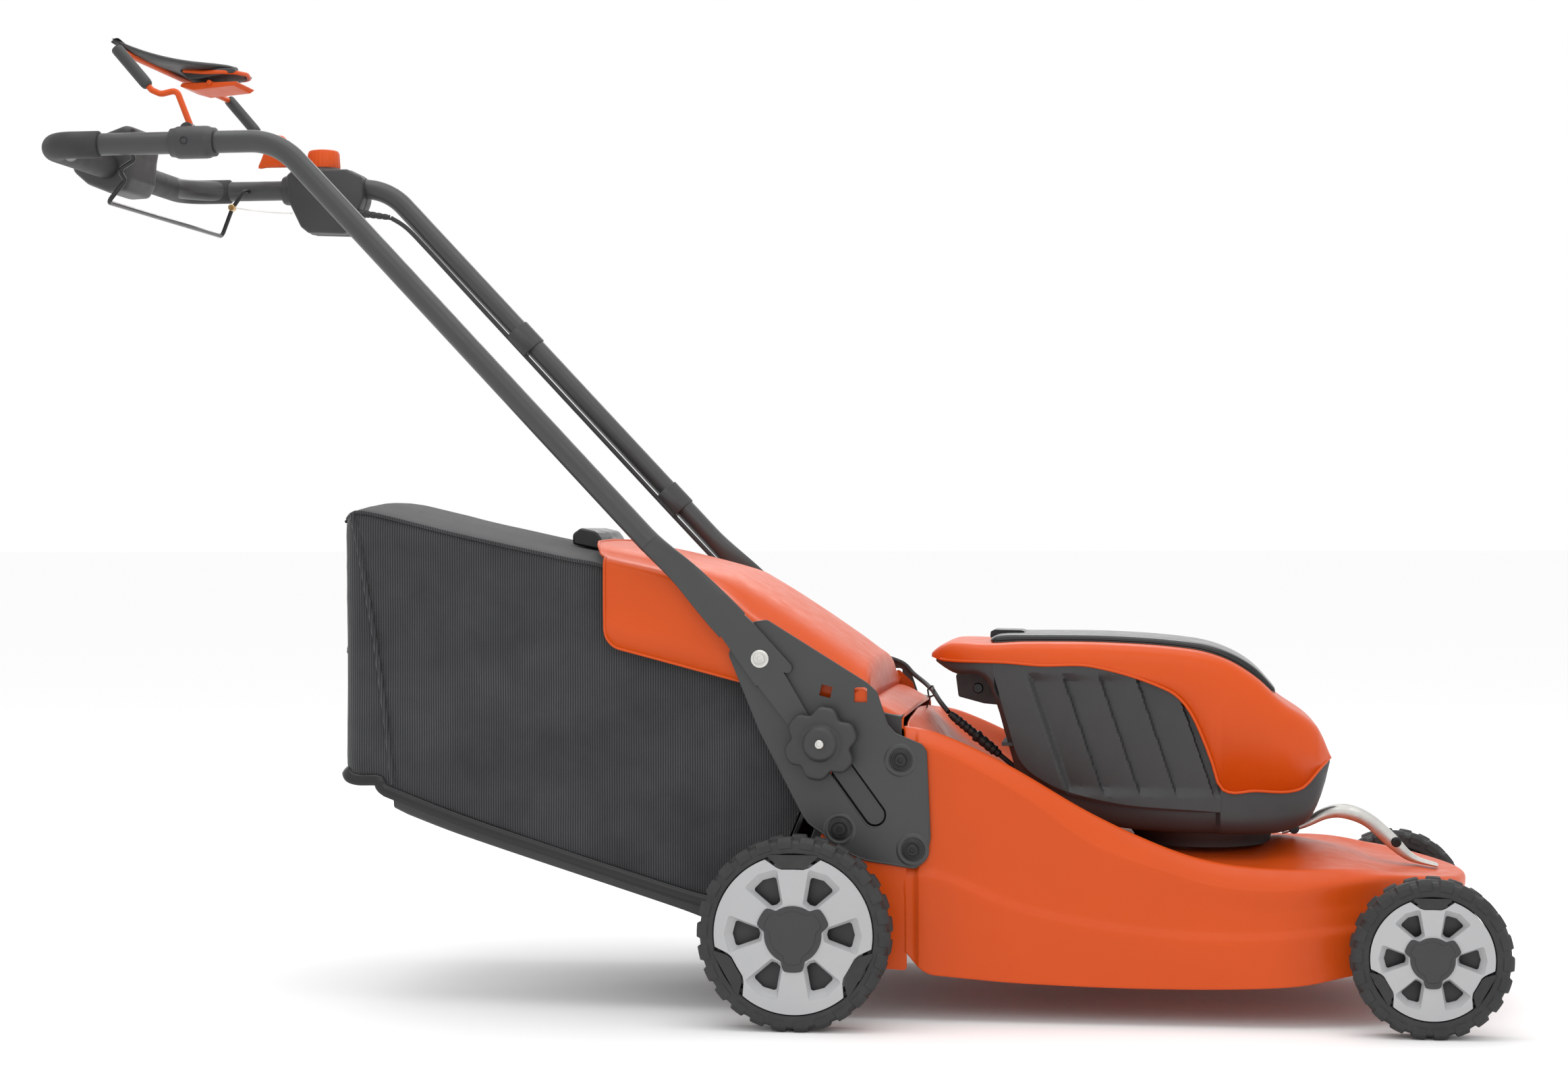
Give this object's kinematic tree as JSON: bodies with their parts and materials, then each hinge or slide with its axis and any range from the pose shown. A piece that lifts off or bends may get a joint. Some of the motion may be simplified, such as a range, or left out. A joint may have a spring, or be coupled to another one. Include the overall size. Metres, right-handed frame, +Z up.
{
  "type": "push lawn mower",
  "caption": "Battery walk-behind lawn mower: pressed orange deck, folding loop handle with hand bails, rear grass bag, hinged rear flap, motor housing with battery lid.",
  "frame": {"origin": "middle of the mower on the ground", "axes": "+X is the front of the mower, +Z is up, +Y is its left-hand side"},
  "size_m": [1.6892, 0.588, 1.115],
  "materials": {
    "deck_paint": "gloss orange powder coat",
    "orange_plastic": "semi-gloss orange",
    "grey_steel": "satin dark grey powder coat",
    "dark_plastic": "fine-textured dark grey",
    "gloss_black": "gloss black",
    "rubber": "matt black",
    "tyre": "matt black",
    "rim_plastic": "satin light grey",
    "zinc": "zinc plated",
    "fabric": "coarse woven polyester"
  },
  "bodies": {
    "chassis": {"deck_shell": "deck_paint", "discharge_chute": "dark_plastic", "drive_unit": "dark_plastic", "bracket_plate_right": "grey_steel", "bracket_plate_left": "grey_steel", "rear_axle": "zinc", "front_axle": "zinc", "pivot_bolt_right": "zinc", "pivot_bolt_left": "zinc", "housing_base": "dark_plastic", "top_cover": "orange_plastic", "motor_stator": "zinc", "battery_right": "gloss_black", "battery_left": "gloss_black", "carry_strap": "zinc", "flap_rod": "zinc", "lower_lead": "rubber", "lead_connector": "dark_plastic"},
    "handle": {"handle_tube": "grey_steel", "handle_end_right": "grey_steel", "handle_end_left": "grey_steel", "rubber_grip": "rubber", "control_pod": "dark_plastic", "pivot_sleeve": "dark_plastic", "control_box": "dark_plastic", "upper_lead": "rubber", "pull_wire": "zinc"},
    "upper_bail": {"upper_bail_rod": "orange_plastic", "upper_bail_paddle": "dark_plastic"},
    "lock_lever": {"lock_lever": "orange_plastic"},
    "lower_bail": {"lower_wire_bail": "gloss_black"},
    "speed_lever": {"speed_lever": "orange_plastic"},
    "power_button": {"power_button": "gloss_black"},
    "eco_button": {"eco_button": "orange_plastic"},
    "lid": {"battery_lid": "gloss_black"},
    "flap": {"rear_flap": "orange_plastic"},
    "bag": {"bag_fabric": "fabric", "bag_tray": "dark_plastic", "bag_mouth_frame": "gloss_black", "bag_grip": "dark_plastic"},
    "cutter": {"motor_shaft": "zinc", "blade": "grey_steel", "blade_holder": "zinc", "blade_bolt": "zinc"},
    "clamp_right": {"clamp_bolt_right": "zinc"},
    "knob_right": {"clamp_knob_right": "dark_plastic"},
    "clamp_left": {"clamp_bolt_left": "zinc"},
    "knob_left": {"clamp_knob_left": "dark_plastic"},
    "rear_right_wheel": {"rear_right_tyre": "tyre", "rear_right_rim": "rim_plastic", "rear_right_hub_cap": "dark_plastic"},
    "rear_left_wheel": {"rear_left_tyre": "tyre", "rear_left_rim": "rim_plastic", "rear_left_hub_cap": "dark_plastic"},
    "front_right_wheel": {"front_right_tyre": "tyre", "front_right_rim": "rim_plastic", "front_right_hub_cap": "dark_plastic"},
    "front_left_wheel": {"front_left_tyre": "tyre", "front_left_rim": "rim_plastic", "front_left_hub_cap": "dark_plastic"}
  },
  "joints": [
    {"name": "rear_right_wheel_spin", "type": "hinge", "parent": "chassis", "child": "rear_right_wheel", "pos_m": [0.07745, 0, 0.1057], "axis": [0, 1, 0], "continuous": true},
    {"name": "rear_left_wheel_spin", "type": "hinge", "parent": "chassis", "child": "rear_left_wheel", "pos_m": [0.07745, 0, 0.1057], "axis": [0, 1, 0], "continuous": true},
    {"name": "front_right_wheel_spin", "type": "hinge", "parent": "chassis", "child": "front_right_wheel", "pos_m": [0.75915, 0, 0.0854], "axis": [0, 1, 0], "continuous": true},
    {"name": "front_left_wheel_spin", "type": "hinge", "parent": "chassis", "child": "front_left_wheel", "pos_m": [0.75915, 0, 0.0854], "axis": [0, 1, 0], "continuous": true},
    {"name": "handle_fold", "type": "hinge", "parent": "chassis", "child": "handle", "pos_m": [0.03145, 0, 0.401], "axis": [0, 1, 0], "range_deg": [0, 137]},
    {"name": "upper_bail_press", "type": "hinge", "parent": "handle", "child": "upper_bail", "pos_m": [-0.63055, 0, 1.004], "axis": [0, -1, 0], "range_deg": [0, 22], "stiffness_Nm_per_rad": 2, "springref_deg": -17.19},
    {"name": "lock_lever_press", "type": "hinge", "parent": "upper_bail", "child": "lock_lever", "pos_m": [-0.66755, 0, 1.087], "axis": [0, 1, 0], "range_deg": [0, 6], "stiffness_Nm_per_rad": 0.2, "springref_deg": -5.73},
    {"name": "lower_bail_press", "type": "hinge", "parent": "handle", "child": "lower_bail", "pos_m": [-0.70155, 0, 0.985], "axis": [0, 1, 0], "range_deg": [0, 30], "stiffness_Nm_per_rad": 1, "springref_deg": -17.19},
    {"name": "speed_lever_turn", "type": "hinge", "parent": "handle", "child": "speed_lever", "pos_m": [-0.60555, 0.226, 1.026], "axis": [0, 0, 1], "range_deg": [-50, 8]},
    {"name": "power_button_press", "type": "slide", "parent": "handle", "child": "power_button", "axis": [0, 0, -1], "range_m": [0, 0.0015], "stiffness_N_per_m": 400, "springref_m": -0.001},
    {"name": "eco_button_press", "type": "slide", "parent": "handle", "child": "eco_button", "axis": [0, 0, -1], "range_m": [0, 0.0015], "stiffness_N_per_m": 400, "springref_m": -0.001},
    {"name": "lid_open", "type": "hinge", "parent": "chassis", "child": "lid", "pos_m": [0.60595, 0, 0.353], "axis": [0, 1, 0], "range_deg": [0, 70]},
    {"name": "flap_open", "type": "hinge", "parent": "chassis", "child": "flap", "pos_m": [0.14445, 0, 0.357], "axis": [0, 1, 0], "range_deg": [0, 60]},
    {"name": "bag_pull", "type": "slide", "parent": "chassis", "child": "bag", "axis": [-1, 0, 0], "range_m": [0, 0.3]},
    {"name": "blade_spin", "type": "hinge", "parent": "chassis", "child": "cutter", "pos_m": [0.52045, 0, 0.1], "axis": [0, 0, 1], "continuous": true},
    {"name": "clamp_right_slide", "type": "slide", "parent": "chassis", "child": "clamp_right", "axis": [0.587, 0, -0.8096], "range_m": [0, 0.07]},
    {"name": "knob_right_turn", "type": "hinge", "parent": "clamp_right", "child": "knob_right", "pos_m": [0.10045, -0.225, 0.308], "axis": [0, 1, 0], "continuous": true},
    {"name": "clamp_left_slide", "type": "slide", "parent": "chassis", "child": "clamp_left", "axis": [0.587, 0, -0.8096], "range_m": [0, 0.07]},
    {"name": "knob_left_turn", "type": "hinge", "parent": "clamp_left", "child": "knob_left", "pos_m": [0.10045, 0.225, 0.308], "axis": [0, 1, 0], "continuous": true}
  ]
}
